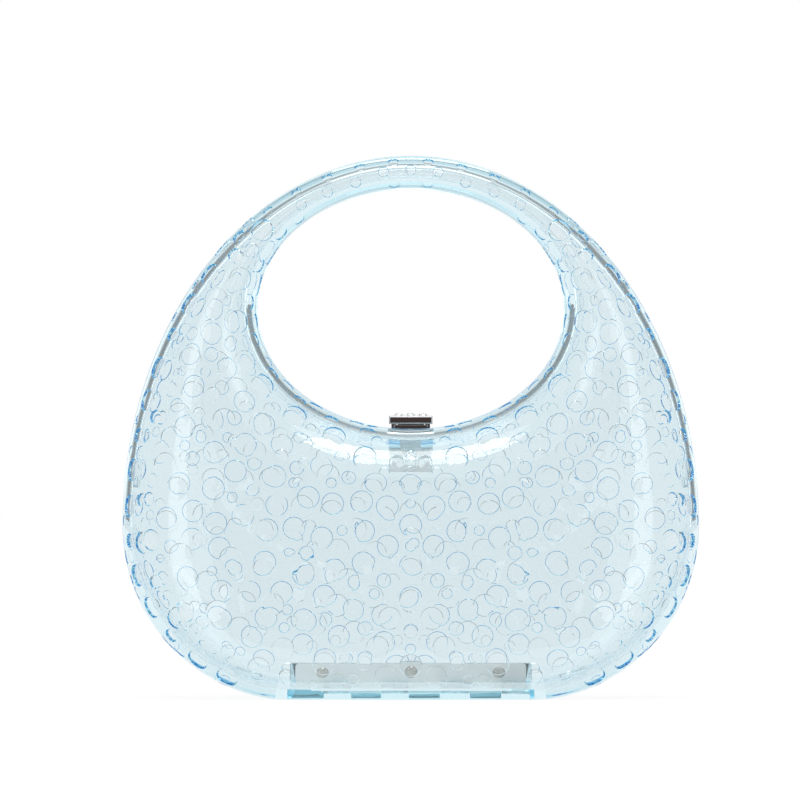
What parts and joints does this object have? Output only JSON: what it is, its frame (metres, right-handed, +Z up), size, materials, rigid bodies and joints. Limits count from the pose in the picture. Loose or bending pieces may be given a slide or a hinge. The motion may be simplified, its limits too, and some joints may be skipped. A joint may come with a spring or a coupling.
{
  "type": "clear acrylic evening bag with rhinestone clasp",
  "caption": "Hard clamshell evening bag in clear pale blue acrylic, a half-moon body with a moulded hand hole, a piano hinge in its base and a stone-set flip clasp.",
  "frame": {"origin": "under the middle of the base, on the surface that the bag stands on", "axes": "+X to the right across the width, +Y from the front half to the rear half, +Z up"},
  "size_m": [0.22, 0.062, 0.207],
  "materials": {
    "acrylic_blue": "polished clear cast acrylic, pale blue",
    "acrylic_clear": "polished clear acrylic",
    "clasp_chrome": "polished silver plating",
    "hinge_steel": "drawn steel, lightly brushed",
    "crystal": "cut clear crystal"
  },
  "bodies": {
    "back_half": {"back_shell": "acrylic_blue", "hinge_leaf_back": "hinge_steel", "hinge_pin": "hinge_steel", "hinge_rivet_back_1": "hinge_steel", "hinge_rivet_back_2": "hinge_steel", "hinge_rivet_back_3": "hinge_steel", "clasp_base": "clasp_chrome", "clasp_pin": "hinge_steel", "clasp_bracket_back": "clasp_chrome", "clasp_screw_back": "clasp_chrome", "locating_tab_1": "acrylic_clear", "locating_tab_2": "acrylic_clear", "locating_tab_3": "acrylic_clear", "locating_tab_4": "acrylic_clear"},
    "front_half": {"front_shell": "acrylic_blue", "hinge_leaf_front": "hinge_steel", "hinge_rivet_front_1": "hinge_steel", "hinge_rivet_front_2": "hinge_steel", "hinge_rivet_front_3": "hinge_steel", "clasp_catch": "clasp_chrome", "clasp_bracket_front": "clasp_chrome", "clasp_screw_front": "clasp_chrome"},
    "clasp_flap": {"clasp_lever": "clasp_chrome", "clasp_stone_1": "crystal", "clasp_stone_2": "crystal", "clasp_stone_3": "crystal", "clasp_stone_4": "crystal", "clasp_stone_5": "crystal", "clasp_stone_6": "crystal"}
  },
  "joints": [
    {"name": "shell_hinge", "type": "hinge", "parent": "back_half", "child": "front_half", "pos_m": [0, 0, 0.0022], "axis": [1, 0, 0], "range_deg": [0, 90]},
    {"name": "clasp_flip", "type": "hinge", "parent": "back_half", "child": "clasp_flap", "pos_m": [0, 0.0057, 0.1053], "axis": [-1, 0, 0], "range_deg": [0, 105]}
  ]
}
